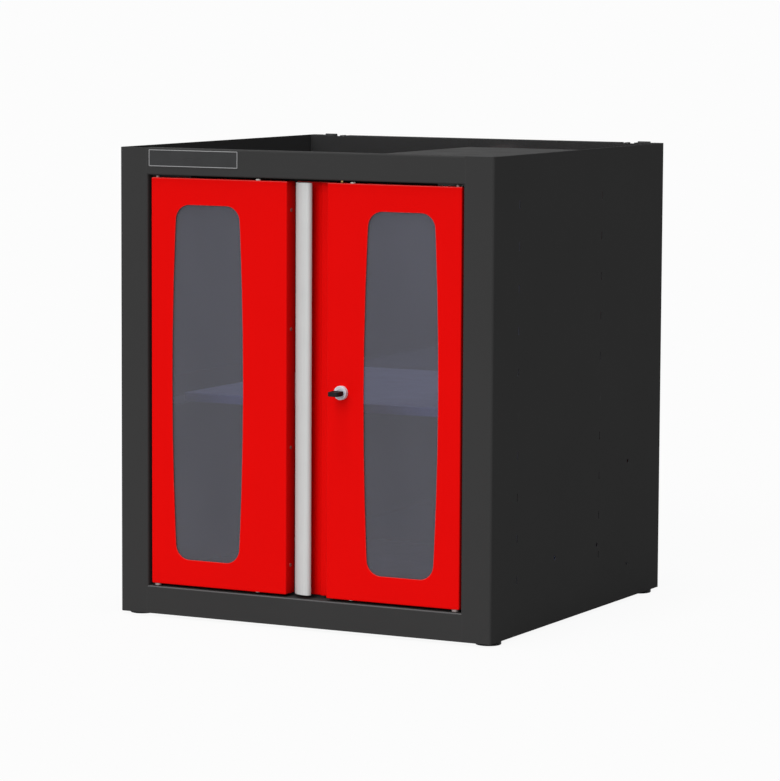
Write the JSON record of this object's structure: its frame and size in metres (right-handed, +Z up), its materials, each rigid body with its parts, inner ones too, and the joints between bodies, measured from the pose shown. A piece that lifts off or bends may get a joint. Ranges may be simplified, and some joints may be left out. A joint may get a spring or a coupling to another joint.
{
  "type": "workshop base cabinet",
  "caption": "Steel workshop base cabinet with an open top, red doors with tall smoked windows, a full-height aluminium handle, a key lock that drives lock rods, and a lift-out shelf.",
  "frame": {"origin": "on the ground under the middle of the cabinet's width, and of its depth with the key counted in", "axes": "+X to the right as seen from the doors, +Y from the doors to the back, +Z up"},
  "size_m": [0.725, 0.739, 0.826],
  "materials": {
    "carcass_paint": "semi-gloss anthracite powder coat on sheet steel",
    "door_paint": "gloss red powder coat on sheet steel",
    "smoked_pane": "smoked clear polycarbonate",
    "black_foam": "matt foam strip",
    "zinc_steel": "bright zinc plate",
    "bright_lock": "bright nickel plate",
    "satin_aluminium": "satin anodised extrusion",
    "yellow_rod": "yellow passivated steel rod",
    "black_plastic": "moulded black plastic",
    "white_nylon": "natural white nylon",
    "label_black": "plain blank plate"
  },
  "bodies": {
    "carcass": {"left_side_panel": "carcass_paint", "right_side_panel": "carcass_paint", "back_panel": "carcass_paint", "floor_panel": "carcass_paint", "top_front_rail": "carcass_paint", "bottom_front_rail": "carcass_paint", "top_rear_rail": "carcass_paint", "corner_plate": "carcass_paint", "door_stops": "carcass_paint", "left_shelf_rail": "carcass_paint", "right_shelf_rail": "carcass_paint", "feet": "black_plastic", "foot_screws": "zinc_steel", "foot_nuts": "zinc_steel", "pivot_bushes": "black_plastic", "label_plate": "label_black"},
    "shelf": {"shelf": "carcass_paint"},
    "left_door": {"left_door_shell": "door_paint", "left_door_liner": "door_paint", "left_window_pane": "smoked_pane", "left_window_gasket": "black_foam", "left_door_rivets": "zinc_steel", "left_pivot_pins": "zinc_steel", "left_pivot_blocks": "zinc_steel", "left_door_buffers": "white_nylon"},
    "right_door": {"right_door_shell": "door_paint", "right_door_liner": "door_paint", "right_window_pane": "smoked_pane", "right_window_gasket": "black_foam", "right_door_rivets": "zinc_steel", "right_pivot_pins": "zinc_steel", "right_pivot_blocks": "zinc_steel", "right_door_buffers": "white_nylon", "handle_profile": "satin_aluminium", "handle_screws": "zinc_steel", "lock_housing": "bright_lock", "lock_nut": "zinc_steel", "rod_guides": "black_plastic"},
    "lock_barrel": {"lock_barrel": "bright_lock", "lock_cam": "zinc_steel", "cam_screw": "zinc_steel"},
    "key": {"key_blade": "zinc_steel", "key_bow": "black_plastic"},
    "upper_rod": {"upper_lock_rod": "yellow_rod"},
    "lower_rod": {"lower_lock_rod": "yellow_rod"}
  },
  "joints": [
    {"name": "left_door_hinge", "type": "hinge", "parent": "carcass", "child": "left_door", "pos_m": [-0.2915, -0.3285, 0.416], "axis": [0, 0, -1], "range_deg": [0, 110]},
    {"name": "right_door_hinge", "type": "hinge", "parent": "carcass", "child": "right_door", "pos_m": [0.2915, -0.3285, 0.416], "axis": [0, 0, 1], "range_deg": [0, 110]},
    {"name": "key_turn", "type": "hinge", "parent": "right_door", "child": "lock_barrel", "pos_m": [0.076, -0.3345, 0.416], "axis": [0, 1, 0], "range_deg": [0, 90]},
    {"name": "upper_rod_slide", "type": "slide", "parent": "right_door", "child": "upper_rod", "axis": [0, 0, 1], "range_m": [0, 0.01697]},
    {"name": "lower_rod_slide", "type": "slide", "parent": "right_door", "child": "lower_rod", "axis": [0, 0, -1], "range_m": [0, 0.01697]},
    {"name": "key_withdraw", "type": "slide", "parent": "lock_barrel", "child": "key", "axis": [0, -1, 0], "range_m": [0, 0.03]},
    {"name": "shelf_lift", "type": "slide", "parent": "carcass", "child": "shelf", "axis": [0, 0, 1], "range_m": [0, 0.06]}
  ],
  "couplings": [
    {"joint": "key_turn", "follows": "upper_rod_slide", "rad_per_m": 92.563},
    {"joint": "lower_rod_slide", "follows": "upper_rod_slide", "ratio": 1}
  ]
}
